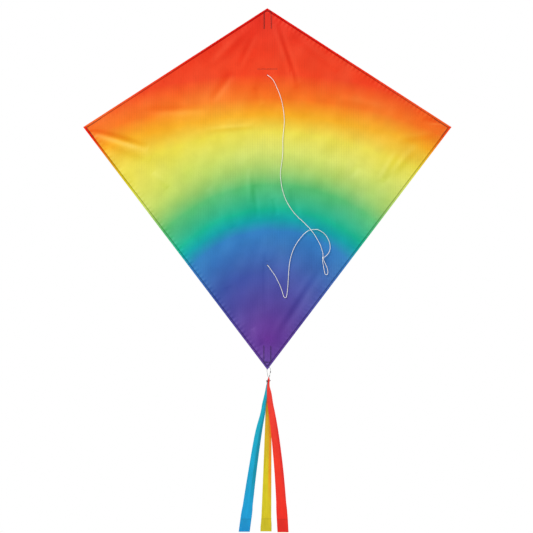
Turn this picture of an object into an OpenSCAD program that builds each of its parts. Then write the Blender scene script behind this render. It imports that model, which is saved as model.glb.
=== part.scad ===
// A single-line diamond kite, held upright with its sail facing -Y.
// The origin is where the cross spar passes the spine, on the middle of both rods.
// +X runs to the right-hand wing tip as the sail is faced, and +Z runs up to the nose.

/* [Sail] */
// Width of the sail from wing tip to wing tip
wing_span = 762; // [600:2:1000]
// Height of the nose above the cross spar
nose_height = 246; // [200:2:340]
// Depth of the tail point below the cross spar
tail_depth = 502; // [420:2:700]
// Thickness of the sail cloth
sail_t = 0.5; // [0.3:0.1:1]
// Width of the hem that is folded behind the edge
hem_w = 5; // [4:0.5:10]
// Thickness that the folded hem adds behind the cloth
hem_t = 0.4; // [0.2:0.1:0.8]

/* [Rods] */
// Diameter of the spine and of both cross spar halves
rod_d = 4; // [3:0.5:6]
// Thickness of the soft wall of the centre fitting
fitting_wall = 0.9; // [0.6:0.1:2]
// Length of the centre fitting along the cross spar
fitting_w = 76; // [50:2:120]
// Length of the centre fitting along the spine
fitting_h = 22; // [14:1:40]
// Distance from the spine to the inner end of each spar half
spar_start = 12; // [11:0.5:16]
// Wall of the caps on the rod ends
cap_wall = 0.8; // [0.5:0.1:1.5]
// Length of the caps on the rod ends
cap_len = 14; // [8:1:24]

/* [Pockets] */
// Width of the nose and tail pockets across the spine
pocket_w = 15.5; // [12:0.5:18]
// Length of the nose and tail pockets along the spine
pocket_len = 35; // [24:1:60]
// Distance from the sail's nose to the closed end of its pocket
nose_inset = 7.5; // [7:0.5:20]
// Distance from the sail's tail point to the closed end of its pocket
tail_inset = 16; // [14:0.5:24]
// Distance from each wing tip to the closed end of its pocket
tip_inset = 12; // [11:0.5:24]
// Length of the wing tip pockets along the spar
tip_pocket_len = 32; // [20:1:50]
// Height of the wing tip pockets
tip_pocket_h = 14; // [10:0.5:18]
// Thickness of the pocket cloth
pocket_t = 0.5; // [0.3:0.1:1]

/* [Folding] */
// Distance from the spine to the line where each wing folds
fold_x = 10; // [9.5:0.5:10.5]
// Gap between the moving parts of the sail at the fold
fold_gap = 0.3; // [0.2:0.1:0.6]

/* [Bridle] */
// Diameter of the bridle line
line_d = 1.2; // [0.8:0.1:1.6]
// Height of the upper bridle hole above the cross spar
hole_up = 107.5; // [107:0.5:108]
// Depth of the lower bridle hole below the cross spar
hole_down = 286; // [285.5:0.5:286.5]
// Width of the upper reinforcing patch
patch_w = 50; // [30:1:60]
// Height of the upper reinforcing patch
patch_h = 28; // [20:1:40]
// Width and height of the lower reinforcing patch
low_patch = 18; // [14:1:24]
// Thickness of the patch cloth
patch_t = 0.2; // [0.1:0.05:0.25]
// Diameter of the knot where the bridle's legs meet
knot_d = 4; // [3:0.5:5]

/* [Tail clip] */
// Diameter of the clip's wire
wire_d = 1; // [0.8:0.1:1.2]
// Height of the clip from its top bar to its bottom bend
clip_h = 21; // [18:0.5:26]
// Width of the clip at its shoulders
clip_w = 7.5; // [7:0.5:9]
// Sideways offset of the clip from the spine
clip_x = 3; // [2:0.5:4]
// Clear radius inside the sewn tail loop
loop_r = 1.6; // [1.4:0.1:2]
// Thickness of the sewn tail loop's cord
loop_cord = 1.1; // [0.8:0.1:1.4]

/* [Ribbons] */
// Length of each ribbon below the stitch that holds it
ribbon_len = 314; // [200:2:500]
// Width of each ribbon where it lies flat
ribbon_w = 23; // [16:0.5:30]
// Width of each ribbon where it is folded at the top
neck_w = 6; // [4:0.5:8]
// Thickness of the ribbon cloth
ribbon_t = 0.4; // [0.2:0.1:0.5]
// Spacing of the ribbons from front to back
ribbon_step = 0.9; // [0.8:0.05:1]
// Tilt of the middle ribbon backwards and of the right one forwards, in degrees
ribbon_fan = 0.7; // [0:0.1:1]
// Lean of the left ribbon from the vertical
lean_left = -9; // [-15:1:-6]
// Lean of the middle ribbon from the vertical
lean_middle = -1; // [-4:1:2]
// Lean of the right ribbon from the vertical
lean_right = 6; // [3:1:12]

/* [Hidden] */
$fn = 48;

// Depths from front to back. The sail clears the caps behind its hem and the line round the spine
air = 0.2;                                  // clearance between a cap and the cloth
cap_d = rod_d + 2 * cap_wall;
sail_back = -max(cap_d / 2 + air + hem_t, rod_d / 2 + line_d + patch_t);
hem_back = sail_back + hem_t;               // rear face of the hem
sail_front = sail_back - sail_t;            // front face of the sail
pocket_back = cap_d / 2 + air + pocket_t;   // rear face of the pockets
fitting_d = rod_d + 2 * fitting_wall;
hole_r = line_d / 2 + 0.15;                 // bridle holes in the cloth
knot_major = rod_d / 2 + line_d / 2;        // line wound once round the spine

// Outline of the sail, and the centre and radius of the circle that touches its four edges
half_span = wing_span / 2;
upper_edge = norm([half_span, nose_height]);
lower_edge = norm([half_span, tail_depth]);
inner_r = half_span * (nose_height + tail_depth) / (upper_edge + lower_edge);
inner_z = nose_height - inner_r * upper_edge / half_span;

// Rod ends, inside their pockets
cap_end = 1;                                // closed end of a cap, beyond the rod's end
nose_rod = nose_height - nose_inset - pocket_t - cap_end;
tail_rod = tail_depth - tail_inset - pocket_t - cap_end;
spar_end = half_span - tip_inset - pocket_t - cap_end;

// Tail clip and ribbons, below the tail pocket
tail_gap = 10.5;                            // from the tail pocket down to the loop's middle
loop_major = loop_r + loop_cord / 2;
loop_z = tail_inset - tail_depth - tail_gap;
bar_z = loop_z - loop_r + wire_d / 2 + 0.05;
clip_foot = bar_z - clip_h;
thread_r = 0.5;                             // cord of the ribbons' own loop
thread_major = wire_d / 2 + 0.3 + thread_r + 0.5;
thread_z = clip_foot - thread_major + wire_d / 2 + 0.7;
stitch_r = 0.6;
stitch_z = thread_z - 5.6;
leaf_w = 4;
leaf_t = 0.5;
leaf_y = ribbon_step + ribbon_t / 2 + 0.3;  // inner face of each leaf

// Bridle routes as [across, height above the sail's face, up], from the hole to the knot
knot_at = [115, 2.3, -271];
upper_route = [[0, 0.8, 107.5], [0.6, 2.6, 107], [3, 4.2, 105], [7, 4.4, 102], [12, 3.2, 97],
    [16, 1.8, 90], [20, 1.2, 81], [25, 1, 69], [29, 1, 57], [32, 1, 43], [34, 1, 30],
    [35, 1, 18], [35, 1, 7], [34, 1, -4], [33, 1, -14], [32, 1, -26], [32, 1, -38],
    [32, 1, -51], [31, 1, -65], [29, 1, -80], [27, 1, -95], [28, 1, -109], [30, 1, -124],
    [34, 1, -139], [39, 1, -152], [47, 1, -166], [55, 1, -177], [64, 1, -187],
    [72, 1.3, -194], [79, 2, -201], [85, 2.9, -207], [91, 3.3, -214], [97, 2.9, -222],
    [102, 2, -230], [106, 1.4, -237], [110, 1.1, -245], [113, 1, -254], [115, 1.2, -262],
    [115, 1.8, -269.3]];
lower_route = [[0, 0.8, -286], [1, 2.6, -286.6], [4, 3.8, -290], [8, 3.4, -296],
    [13, 2, -303], [18, 1.2, -311], [22, 1, -319], [27, 1, -330], [31, 1, -341],
    [34, 1, -349], [37, 1, -353], [40, 1, -348], [42, 1, -335], [43, 1, -320],
    [44, 1, -304], [45, 1, -289], [47, 1, -276], [50, 1, -264], [54, 1, -253],
    [58, 1, -245], [63, 1, -237], [69, 1, -229], [75, 1, -222], [82, 1, -216],
    [89, 1, -213], [96, 1, -212], [103, 1, -212], [110, 1, -215], [117, 1, -220],
    [123, 1, -227], [128, 1, -237], [130, 1, -248], [128, 1, -258], [123, 1.2, -265],
    [116.4, 2, -270.2]];
loop_route = [[114.2, 1.9, -272.5], [114.6, 1.2, -279], [116, 1, -287], [117, 1, -294],
    [119, 1, -301], [122, 1, -306], [125, 1, -303], [125, 1, -297], [123, 1, -290],
    [120, 1, -283], [117.6, 1.2, -278], [116, 1.9, -272.5]];

// A rod along X, Y or Z between two distances
module along_x(d, from, to) { translate([from, 0, 0]) rotate([0, 90, 0]) cylinder(d = d, h = to - from); }
module along_y(d, from, to) { translate([0, from, 0]) rotate([-90, 0, 0]) cylinder(d = d, h = to - from); }
module along_z(d, from, to) { translate([0, 0, from]) cylinder(d = d, h = to - from); }

// A flat shape drawn in the sail's plane, from one depth to another
module upright(from, to) { translate([0, to, 0]) rotate([90, 0, 0]) linear_extrude(to - from) children(); }

// The sail's outline, drawn in by the width of an edge strip
module sail_outline(inset = 0) {
    translate([0, inner_z]) scale((inner_r - inset) / inner_r) translate([0, -inner_z])
        polygon([[0, nose_height], [half_span, 0], [0, -tail_depth], [-half_span, 0]]);
}

// The part of the sail between two distances from the spine, with its hem
module sail_strip(from, to) {
    upright(sail_back - sail_t, sail_back) intersection() {
        sail_outline();
        translate([from, -tail_depth]) square([to - from, tail_depth + nose_height]);
    }
    upright(sail_back, hem_back) intersection() {
        difference() { sail_outline(); sail_outline(hem_w); }
        translate([from, -tail_depth]) square([to - from, tail_depth + nose_height]);
    }
}

module bridle_holes() {
    for (z = [hole_up, -hole_down])
        translate([0, 0, z]) along_y(2 * hole_r, sail_front - 1, 0);
}

module sail_centre() {
    color("orangered") difference() {
        sail_strip(-fold_x + fold_gap / 2, fold_x - fold_gap / 2);
        bridle_holes();
    }
}
module sail_left() { color("gold") sail_strip(-half_span, -fold_x - fold_gap / 2); }
module sail_right() { color("mediumseagreen") sail_strip(fold_x + fold_gap / 2, half_span); }

// A cloth pocket on the back of the sail, closed at its far end and open towards the crossing
module pocket(len, width) {
    depth = pocket_back - hem_back;
    translate([-width / 2, hem_back, -len]) difference() {
        cube([width, depth, len]);
        translate([pocket_t, -1, -1]) cube([width - 2 * pocket_t, depth - pocket_t + 1, len - pocket_t + 1]);
    }
}
module nose_pocket() {
    color("red") translate([0, 0, nose_rod + cap_end + pocket_t]) pocket(pocket_len, pocket_w);
}
module tail_pocket() {
    color("rebeccapurple") mirror([0, 0, 1])
        translate([0, 0, tail_rod + cap_end + pocket_t]) pocket(pocket_len, pocket_w);
}
module tip_pocket(side) {
    color("darkorange") rotate([0, side * 90, 0])
        translate([0, 0, spar_end + cap_end + pocket_t]) pocket(tip_pocket_len, tip_pocket_h);
}
module tip_pocket_left() { tip_pocket(-1); }
module tip_pocket_right() { tip_pocket(1); }

module spine() { color("white") along_z(rod_d, -tail_rod, nose_rod); }
module spar_left() { color("white") along_x(rod_d, -spar_end, -spar_start); }
module spar_right() { color("white") along_x(rod_d, spar_start, spar_end); }

// A soft cap pushed on the end of a rod that points up to the given height
module end_cap(end) {
    color("gainsboro") difference() {
        along_z(cap_d, end - cap_len + cap_end, end + cap_end);
        along_z(rod_d, end - cap_len, end);
    }
}
module spine_cap_nose() { end_cap(nose_rod); }
module spine_cap_tail() { mirror([0, 0, 1]) end_cap(tail_rod); }
module spar_cap_left() { rotate([0, -90, 0]) end_cap(spar_end); }
module spar_cap_right() { rotate([0, 90, 0]) end_cap(spar_end); }

// The soft cross-shaped fitting that grips the spine and takes one spar half at each side
module centre_fitting() {
    color("whitesmoke") difference() {
        union() {
            along_x(fitting_d, -fitting_w / 2, fitting_w / 2);
            along_z(fitting_d, -fitting_h / 2, fitting_h / 2);
        }
        along_z(rod_d, -fitting_h, fitting_h);
        along_x(rod_d, spar_start, fitting_w);
        along_x(rod_d, -fitting_w, -spar_start);
    }
}

module patch(width, height, z) {
    upright(sail_back, sail_back + patch_t)
        translate([-width / 2, z - height / 2]) square([width, height]);
}
module bridle_patch_upper() {
    color("tomato") difference() {
        patch(patch_w, patch_h, hole_up);
        bridle_holes();
    }
}
module bridle_patch_lower() {
    color("royalblue") difference() {
        patch(low_patch, low_patch, -hole_down);
        bridle_holes();
    }
}

// One turn of line round the spine, with the end that goes forward through the sail
module spine_knot(z) {
    color("ivory") translate([0, 0, z]) {
        rotate_extrude() translate([knot_major, 0]) circle(d = line_d, $fn = 24);
        along_y(line_d, sail_front - 0.5, -knot_major);
    }
}
module bridle_knot_upper() { spine_knot(hole_up); }
module bridle_knot_lower() { spine_knot(-hole_down); }

// A round line or wire swept along a route, with an eight-sided ring at each point
function unit(v) = v / norm(v);
function heading(route, i) =
    i == 0 ? unit(route[1] - route[0]) :
    i == len(route) - 1 ? unit(route[i] - route[i - 1]) : unit(route[i + 1] - route[i - 1]);
function square_to(v, h) = unit(v - (v * h) * h);
function sides(route, i) =
    i == 0 ? [square_to([0.1, 0.2, 1], heading(route, 0))] :
    let (before = sides(route, i - 1)) concat(before, [square_to(before[i - 1], heading(route, i))]);
module sweep(route, d) {
    last = len(route) - 1;
    side = sides(route, last);
    rings = [for (i = [0:last]) let (h = heading(route, i), u = side[i], v = cross(h, u))
        for (k = [0:7]) route[i] + d / 2 * (cos(45 * k) * u + sin(45 * k) * v)];
    faces = concat(
        [[for (k = [0:7]) k]],
        [for (i = [0:last - 1]) for (k = [0:7])
            [8 * i + k, 8 * i + 8 + k, 8 * i + 8 + (k + 1) % 8, 8 * i + (k + 1) % 8]],
        [[for (k = [7:-1:0]) 8 * last + k]]);
    polyhedron(rings, faces, convexity = 6);
}
function on_sail(p) = [p[0], sail_front - p[1], p[2]];
module line_along(points) { color("white") sweep([for (p = points) on_sail(p)], line_d); }
module bridle_upper() { line_along(upper_route); }
module bridle_lower() { line_along(lower_route); }
module tow_loop() { line_along(loop_route); }
module tow_knot() { color("white") translate(on_sail(knot_at)) sphere(d = knot_d, $fn = 32); }

// The sewn loop below the tail pocket, round the clip's top bar
module tail_loop() {
    color("indigo") translate([clip_x, 0, loop_z]) difference() {
        union() {
            rotate([0, 90, 0]) rotate_extrude() translate([loop_major, 0]) circle(d = loop_cord, $fn = 24);
            along_z(loop_cord + 0.4, loop_r + 0.2, tail_gap);
        }
        rotate([0, 90, 0]) cylinder(r = loop_r, h = 4, center = true);
    }
}

// The clip is one bent wire that stays behind the sail's tip at its shoulders
clip_left = clip_x - clip_w / 2;
clip_right = clip_x + clip_w / 2;
gate_at = [clip_x + 1.7, clip_foot + 3.6];
latch_at = [clip_right - 0.2, bar_z - clip_h * 0.45];
gate_front = -wire_d / 2 - 1.1;
gate_rear = -wire_d / 2 - 0.2;
module snap_wire() {
    bends = [latch_at, [clip_right, bar_z - 6], [clip_right - 0.4, bar_z - 2.4],
        [clip_right - 1.4, bar_z - 0.6], [clip_right - 2.6, bar_z], [clip_left + 2.2, bar_z],
        [clip_left + 0.9, bar_z - 0.7], [clip_left + 0.2, bar_z - 2.4], [clip_left, bar_z - 6],
        [clip_left + 0.6, bar_z - 11], [clip_x - 1.8, clip_foot + 2.6], [clip_x - 1, clip_foot + 0.6],
        [clip_x - 0.5, clip_foot], [clip_x + 0.5, clip_foot], [clip_x + 1.1, clip_foot + 0.8], gate_at];
    color("silver") sweep([for (p = bends) [p[0], 0, p[1]]], wire_d);
}
// The rivet at the foot of the clip, on which the gate turns
module snap_rivet() {
    color("gray") translate([gate_at[0], 0, gate_at[1]]) {
        along_y(1.6, -wire_d / 2 - 0.1, wire_d / 2 + 0.1);
        along_y(0.9, gate_front - 0.1, 0);
        along_y(1.6, gate_front - 0.5, gate_front - 0.1);
    }
}
// The sheet clasp that holds the wire's end and has a lip before the gate
module snap_clasp() {
    color("dimgray") translate([latch_at[0], 0, latch_at[1]]) difference() {
        translate([-0.9, gate_front - 0.5, -1.3]) cube([1.8, wire_d + 2.1, 2.6]);
        translate([-1.2, gate_front - 0.15, -2]) cube([1.8, 1.25, 4]);
        translate([0, 0, -2]) cylinder(d = wire_d + 0.3, h = 4);
    }
}
// The gate is a strip that turns on the rivet and springs back behind the clasp's lip
module snap_gate() {
    run = latch_at + [-0.35, 0.4] - gate_at;
    color("lightgray") translate([gate_at[0], 0, gate_at[1]])
        upright(gate_front, gate_rear) difference() {
            union() {
                circle(r = 1.1);
                rotate(-atan2(run[0], run[1])) translate([-0.45, 0]) square([0.9, norm(run)]);
            }
            circle(r = 0.5);
        }
}

// The ribbons' own loop of cord, round the foot of the clip, with a leaf before and behind them
module ribbon_loop() {
    color("firebrick") translate([clip_x, 0, 0]) difference() {
        union() {
            translate([0, 0, thread_z]) rotate([0, 90, 0]) rotate_extrude()
                translate([thread_major, 0]) circle(r = thread_r, $fn = 24);
            for (y = [-leaf_y - leaf_t, leaf_y])
                translate([-leaf_w / 2, y, stitch_z - 2]) cube([leaf_w, leaf_t, thread_z - stitch_z + 2]);
        }
        translate([0, 0, stitch_z]) along_y(2 * stitch_r, -5, 5);
    }
}
module ribbon_stitch() {
    color("black") translate([clip_x, 0, stitch_z])
        along_y(2 * stitch_r, -leaf_y - leaf_t - 0.3, leaf_y + leaf_t + 0.3);
}

// A ribbon that hangs from the stitch, folded narrow at its top and flat at its end
module ribbon(lean, place) {
    y = place * ribbon_step;
    translate([clip_x, 0, stitch_z]) rotate([0, -lean, 0]) difference() {
        rotate([place * ribbon_fan, 0, 0]) upright(y - ribbon_t / 2, y + ribbon_t / 2) {
            circle(d = neck_w);
            polygon([for (side = [-1, 1]) for (p = [[neck_w / 2, 0], [neck_w / 2, -16],
                [ribbon_w * 0.37, -0.52 * ribbon_len], [ribbon_w / 2, -0.9 * ribbon_len],
                [ribbon_w / 2, -ribbon_len]]) [side * p[0], p[1]]],
                [[0, 1, 2, 3, 4, 9, 8, 7, 6, 5]]);
        }
        along_y(2 * stitch_r + 0.3, -3, 3);
    }
}
module ribbon_left() { color("deepskyblue") ribbon(lean_left, 0); }
module ribbon_middle() { color("yellow") ribbon(lean_middle, 1); }
module ribbon_right() { color("red") ribbon(lean_right, -1); }

sail_centre();
sail_left();
sail_right();
nose_pocket();
tail_pocket();
tip_pocket_left();
tip_pocket_right();
spine();
spine_cap_nose();
spine_cap_tail();
spar_left();
spar_right();
spar_cap_left();
spar_cap_right();
centre_fitting();
bridle_patch_upper();
bridle_patch_lower();
bridle_knot_upper();
bridle_knot_lower();
bridle_upper();
bridle_lower();
tow_loop();
tow_knot();
tail_loop();
snap_wire();
snap_rivet();
snap_clasp();
snap_gate();
ribbon_loop();
ribbon_stitch();
ribbon_left();
ribbon_middle();
ribbon_right();
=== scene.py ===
import bpy
import numpy as np
from math import atan2, cos, hypot, pi, radians, sin, tan
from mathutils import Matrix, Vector


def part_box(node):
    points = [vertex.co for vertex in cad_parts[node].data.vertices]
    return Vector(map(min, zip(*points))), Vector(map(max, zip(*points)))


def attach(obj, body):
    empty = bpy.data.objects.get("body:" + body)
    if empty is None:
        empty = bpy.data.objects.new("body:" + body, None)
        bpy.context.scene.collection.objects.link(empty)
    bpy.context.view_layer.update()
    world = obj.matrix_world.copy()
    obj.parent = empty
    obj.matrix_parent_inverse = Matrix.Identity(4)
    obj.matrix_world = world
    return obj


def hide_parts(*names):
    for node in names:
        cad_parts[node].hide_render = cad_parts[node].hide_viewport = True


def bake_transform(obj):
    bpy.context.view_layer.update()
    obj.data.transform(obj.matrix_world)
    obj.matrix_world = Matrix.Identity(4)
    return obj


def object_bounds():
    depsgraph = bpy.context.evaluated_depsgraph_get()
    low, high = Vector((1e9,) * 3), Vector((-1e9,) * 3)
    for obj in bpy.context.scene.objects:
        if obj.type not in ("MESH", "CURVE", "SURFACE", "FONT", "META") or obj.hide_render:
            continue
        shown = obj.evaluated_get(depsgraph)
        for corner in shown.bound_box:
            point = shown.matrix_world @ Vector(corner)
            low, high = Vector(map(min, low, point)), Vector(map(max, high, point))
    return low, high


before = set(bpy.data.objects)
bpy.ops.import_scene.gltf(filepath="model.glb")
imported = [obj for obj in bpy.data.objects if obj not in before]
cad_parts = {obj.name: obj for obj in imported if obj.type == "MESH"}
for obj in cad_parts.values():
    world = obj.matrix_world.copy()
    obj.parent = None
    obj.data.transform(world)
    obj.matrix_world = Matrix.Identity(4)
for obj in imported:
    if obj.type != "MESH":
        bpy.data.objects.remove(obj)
cad_low, cad_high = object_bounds()
bpy.ops.object.select_all(action="DESELECT")
MM = 0.001


# ---------------------------------------------------------------- Studio
# The kite hangs upright before white paper, over a pale round floor. The camera looks straight
# at the sail from about three metres, and soft lamps stand at its upper left, its right and behind.
scene = bpy.context.scene
scene.view_settings.view_transform = "Standard"
middle = (cad_low + cad_high) / 2
lens = 100
sensor = 36
frame_height = 1104 * MM
aim = Vector((-1.7 * MM, 0, middle.z + 8 * MM))
bpy.ops.object.camera_add(
    location=aim - Vector((0, frame_height * lens / sensor, 0)), rotation=(pi / 2, 0, 0))
camera = bpy.context.object
camera.data.lens = lens
camera.data.sensor_width = sensor
scene.camera = camera


def lamp(name, place, width, watts):
    """A square soft lamp that faces the middle of the kite."""
    bpy.ops.object.light_add(type="AREA", location=place)
    light = bpy.context.object
    light.name = name
    light.data.size = width
    light.data.energy = watts
    light.rotation_euler = (middle - Vector(place)).to_track_quat("-Z", "Y").to_euler()


lamp("key_lamp", (-2.1, -1.7, 2.5), 1.1, 96)
lamp("fill_lamp", (2.4, -3.0, -0.2), 2.4, 26)
lamp("rear_lamp", (1.6, 3.0, 1.6), 2.2, 95)

paper = bpy.data.worlds.new("white_paper")
scene.world = paper
paper.use_nodes = True
seen = paper.node_tree.nodes["Background"]
seen.inputs["Color"].default_value = (1, 1, 1, 1)
seen.inputs["Strength"].default_value = 1.0
felt = paper.node_tree.nodes.new("ShaderNodeBackground")
felt.inputs["Color"].default_value = (1, 1, 1, 1)
felt.inputs["Strength"].default_value = 0.52
ray = paper.node_tree.nodes.new("ShaderNodeLightPath")
either = paper.node_tree.nodes.new("ShaderNodeMixShader")
paper.node_tree.links.new(ray.outputs["Is Camera Ray"], either.inputs[0])
paper.node_tree.links.new(felt.outputs[0], either.inputs[1])
paper.node_tree.links.new(seen.outputs[0], either.inputs[2])
paper.node_tree.links.new(either.outputs[0], paper.node_tree.nodes["World Output"].inputs["Surface"])

floor_drop = 0.55
bpy.ops.mesh.primitive_circle_add(
    vertices=128, radius=2.4, fill_type="NGON", location=(0, 0, cad_low.z - floor_drop))
floor = bpy.context.object
floor.name = "floor"
pale = bpy.data.materials.new("pale_floor")
pale.use_nodes = True
pale.node_tree.nodes["Principled BSDF"].inputs["Base Color"].default_value = (0.86, 0.86, 0.85, 1)
pale.node_tree.nodes["Principled BSDF"].inputs["Roughness"].default_value = 0.8
floor.data.materials.append(pale)


# ---------------------------------------------------------------- Bridle
# The bridle is one soft white polyester line, 1.2 mm thick and laid from three strands. Its two legs
# come out through the sail and lie on its face to the knot where the flying line's loop starts.
sail_low, sail_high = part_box("sail_centre")
sail_face = sail_low.y
line_thick = 1.2 * MM
line_lay = 3.2 * MM
upper_route = [
    (0, 0.8, 107.5), (0.6, 2.6, 107), (3, 4.2, 105), (7, 4.4, 102), (12, 3.2, 97), (16, 1.8, 90),
    (20, 1.2, 81), (25, 1, 69), (29, 1, 57), (32, 1, 43), (34, 1, 30), (35, 1, 18), (35, 1, 7),
    (34, 1, -4), (33, 1, -14), (32, 1, -26), (32, 1, -38), (32, 1, -51), (31, 1, -65), (29, 1, -80),
    (27, 1, -95), (28, 1, -109), (30, 1, -124), (34, 1, -139), (39, 1, -152), (47, 1, -166),
    (55, 1, -177), (64, 1, -187), (72, 1.3, -194), (79, 2, -201), (85, 2.9, -207), (91, 3.3, -214),
    (97, 2.9, -222), (102, 2, -230), (106, 1.4, -237), (110, 1.1, -245), (113, 1, -254),
    (115, 1.2, -262), (115, 1.8, -269.3)]
lower_route = [
    (0, 0.8, -286), (1, 2.6, -286.6), (4, 3.8, -290), (8, 3.4, -296), (13, 2, -303), (18, 1.2, -311),
    (22, 1, -319), (27, 1, -330), (31, 1, -341), (33.4, 1, -348.6), (34.6, 1, -351.6),
    (37, 1, -353.1), (39.4, 1, -351.6), (40.3, 1, -347.5), (42, 1, -335), (43, 1, -320),
    (44, 1, -304), (45, 1, -289), (47, 1, -276), (50, 1, -264), (54, 1, -253), (58, 1, -245),
    (63, 1, -237), (69, 1, -229), (75, 1, -222), (82, 1, -216), (89, 1, -213), (96, 1, -212),
    (103, 1, -212), (110, 1, -215), (117, 1, -220), (123, 1, -227), (128, 1, -237),
    (130, 1, -248), (128, 1, -258), (123, 1.2, -265), (116.4, 2, -270.2)]
loop_route = [
    (114.2, 1.9, -272.5), (114.6, 1.2, -279), (116, 1, -287), (117.2, 1, -294),
    (119, 1, -302.5), (119.9, 1, -304.4), (122, 1, -305.3), (124.1, 1, -304.4),
    (125, 1, -302.5), (125, 1, -297), (123, 1, -290), (120, 1, -283),
    (117.6, 1.2, -278), (116, 1.9, -272.5)]


def on_sail(route):
    """Points given across, off the sail's face and up, in millimetres, as places in metres."""
    return [Vector((x * MM, sail_face - off * MM, z * MM)) for x, off, z in route]


def smooth_path(points, steps=4):
    """A smooth curve through the points, with so many steps from each to the next."""
    ends = [2 * points[0] - points[1], *points, 2 * points[-1] - points[-2]]
    path = []
    for i in range(1, len(ends) - 2):
        a, b, c, d = ends[i - 1:i + 3]
        for step in range(steps):
            t = step / steps
            path.append(0.5 * (2 * b + (c - a) * t + (2 * a - 5 * b + 4 * c - d) * t ** 2
                               + (3 * b - a - 3 * c + d) * t ** 3))
    return [*path, points[-1]]


def select_only(piece):
    """Leaves this piece the only selected one, and the active one."""
    bpy.ops.object.select_all(action="DESELECT")
    piece.select_set(True)
    bpy.context.view_layer.objects.active = piece


def line_piece(name, path, thick, lay=line_lay, closed=False, resolution=2):
    """A round line along the path, as a mesh. Its UV map goes once round it and once a lay along it."""
    curve = bpy.data.curves.new(name, "CURVE")
    curve.dimensions = "3D"
    spline = curve.splines.new("POLY")
    spline.points.add(len(path) - 1)
    for point, place in zip(spline.points, path):
        point.co = (*place, 1)
    spline.use_cyclic_u = closed
    curve.bevel_depth = thick / 2
    curve.bevel_resolution = resolution
    curve.use_fill_caps = not closed
    piece = bpy.data.objects.new(name, curve)
    scene.collection.objects.link(piece)
    select_only(piece)
    bpy.ops.object.convert(target="MESH")
    piece = bpy.context.object
    run = sum((b - a).length for a, b in zip(path, path[1:]))
    uv = piece.data.uv_layers[0].data
    along = np.empty(len(uv) * 2)
    uv.foreach_get("uv", along)
    along[1::2] *= run / lay
    uv.foreach_set("uv", along)
    bpy.ops.object.shade_smooth_by_angle(angle=radians(60))
    return piece


def join(name, pieces):
    """Several objects made one piece."""
    select_only(pieces[0])
    for piece in pieces:
        piece.select_set(True)
    bpy.ops.object.join()
    pieces[0].name = name
    return pieces[0]


def new_material(name, colour, roughness, specular=0.4, sheen=0.0, metallic=0.0):
    """A material with its tree and shader. What is the same all over is set on the shader."""
    material = bpy.data.materials.new(name)
    material.use_nodes = True
    shader = material.node_tree.nodes["Principled BSDF"]
    shader.inputs["Base Color"].default_value = (*colour, 1)
    shader.inputs["Roughness"].default_value = roughness
    shader.inputs["Specular IOR Level"].default_value = specular
    shader.inputs["Sheen Weight"].default_value = sheen
    shader.inputs["Metallic"].default_value = metallic
    return material, material.node_tree, shader


def feed(tree, socket, value):
    """Links a socket to another, or sets it to a plain value."""
    if isinstance(value, bpy.types.NodeSocket):
        tree.links.new(value, socket)
    else:
        socket.default_value = value


def calc(tree, operation, *values):
    """The result of one Math node."""
    node = tree.nodes.new("ShaderNodeMath")
    node.operation = operation
    for socket, value in zip(node.inputs, values):
        feed(tree, socket, value)
    return node.outputs[0]


def between(tree, value, low, high, to_low=0.0, to_high=1.0):
    """A value carried smoothly from one range to another, and held at its ends."""
    node = tree.nodes.new("ShaderNodeMapRange")
    node.interpolation_type = "SMOOTHSTEP"
    for socket, number in zip(node.inputs, (value, low, high, to_low, to_high)):
        feed(tree, socket, number)
    return node.outputs[0]


def linear(colour):
    """A colour as seen, from 0 to 255, in the light's own numbers."""
    return [((c / 255 + 0.055) / 1.055) ** 2.4 if c > 10 else c / 255 / 12.92 for c in colour]


def blend_colour(tree, factor, one, other, way="MIX"):
    """Two colours mixed by a factor. Each is a socket or three numbers."""
    node = tree.nodes.new("ShaderNodeMix")
    node.data_type = "RGBA"
    node.blend_type = way
    feed(tree, node.inputs["Factor"], factor)
    for socket, colour in zip((node.inputs[6], node.inputs[7]), (one, other)):
        feed(tree, socket, colour if isinstance(colour, bpy.types.NodeSocket) else (*colour, 1))
    return node.outputs[2]


def noise(tree, place, scale, detail=2.0, stretch=(1, 1, 1)):
    """Soft noise in the material's own space, which may be drawn out along an axis."""
    mapping = tree.nodes.new("ShaderNodeMapping")
    mapping.inputs["Scale"].default_value = stretch
    tree.links.new(place, mapping.inputs["Vector"])
    node = tree.nodes.new("ShaderNodeTexNoise")
    node.inputs["Scale"].default_value = scale
    node.inputs["Detail"].default_value = detail
    tree.links.new(mapping.outputs[0], node.inputs["Vector"])
    return node.outputs["Fac"]


def places(tree, output="Object"):
    """The place on the piece as a vector, and its three parts."""
    node = tree.nodes.new("ShaderNodeTexCoord")
    parts = tree.nodes.new("ShaderNodeSeparateXYZ")
    tree.links.new(node.outputs[output], parts.inputs[0])
    return node.outputs[output], parts.outputs[0], parts.outputs[1], parts.outputs[2]


def emboss(tree, shader, height, depth):
    """Raises the surface by a height from 0 to 1, over so many metres."""
    node = tree.nodes.new("ShaderNodeBump")
    node.inputs["Distance"].default_value = depth
    tree.links.new(height, node.inputs["Height"])
    tree.links.new(node.outputs[0], shader.inputs["Normal"])


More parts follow.
